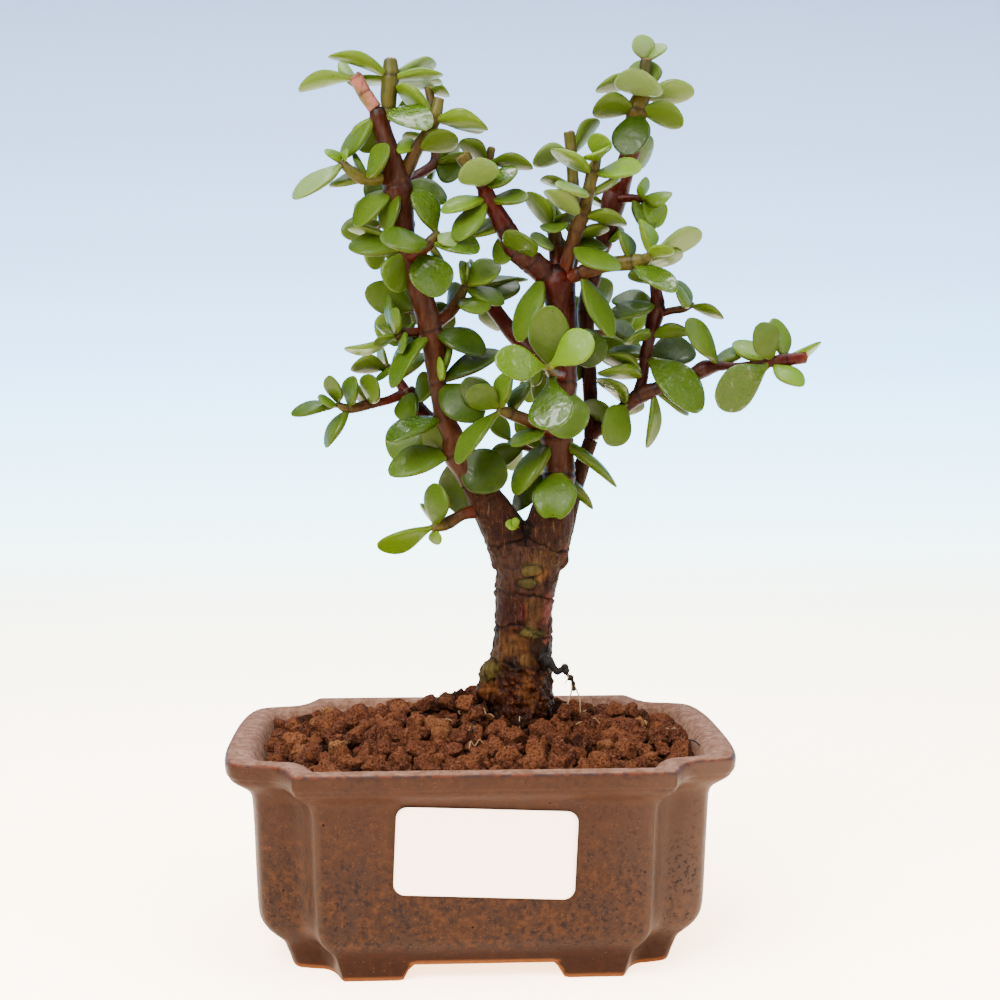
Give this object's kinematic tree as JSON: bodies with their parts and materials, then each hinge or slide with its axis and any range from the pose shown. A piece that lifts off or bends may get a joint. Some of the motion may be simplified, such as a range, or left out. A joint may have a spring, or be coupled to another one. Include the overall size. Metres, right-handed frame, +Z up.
{
  "type": "dwarf jade bonsai in a pot",
  "caption": "Potted dwarf jade bonsai: a stout forked trunk with maroon shoots and round fleshy leaves, in an oblong glazed pot with indented corners and bracket feet.",
  "frame": {"origin": "on the surface that the pot stands on, under the middle of the whole object's box", "axes": "+Z up, the plant's front and the pot's labelled long side face -Y, +X to the right seen from the front"},
  "size_m": [0.1396, 0.082, 0.2112],
  "materials": {
    "glazed_ceramic": "mottled brown reactive glaze over orange clay, satin",
    "label_paper": "smooth coated paper, blank",
    "plastic_net": "moulded net, matte",
    "bark": "rough bark with node rings and scars",
    "baked_clay_granules": "rough porous granules",
    "leafy_shoot": "waxy fleshy leaves on smooth maroon stems"
  },
  "bodies": {
    "root": {"pot": "glazed_ceramic", "label": "label_paper", "drain_screen_left": "plastic_net", "drain_screen_right": "plastic_net", "trunk": "bark", "soil": "baked_clay_granules", "left_limb": "leafy_shoot", "centre_limb": "leafy_shoot", "back_limb": "leafy_shoot", "right_branch": "leafy_shoot", "front_rosette": "leafy_shoot", "crown_shoot_a": "leafy_shoot", "crown_shoot_c": "leafy_shoot", "left_top_stub": "leafy_shoot", "left_upright_stub": "leafy_shoot", "left_side_branch": "leafy_shoot", "left_shoot": "leafy_shoot", "left_middle_shoot": "leafy_shoot", "left_inner_twig": "leafy_shoot", "left_outer_twig": "leafy_shoot", "low_left_twig": "leafy_shoot", "shaded_limb": "leafy_shoot", "middle_twig": "leafy_shoot", "red_twig": "leafy_shoot", "crown_shoot_b": "leafy_shoot", "crown_shoot_d": "leafy_shoot", "crown_back_stub": "leafy_shoot", "right_upright": "leafy_shoot", "back_limb_shoot": "leafy_shoot", "left_back_shoot": "leafy_shoot", "rear_left": "leafy_shoot", "rear_upper_left": "leafy_shoot", "rear_low": "leafy_shoot", "rear_middle": "leafy_shoot", "rear_right": "leafy_shoot"}
  },
  "joints": []
}
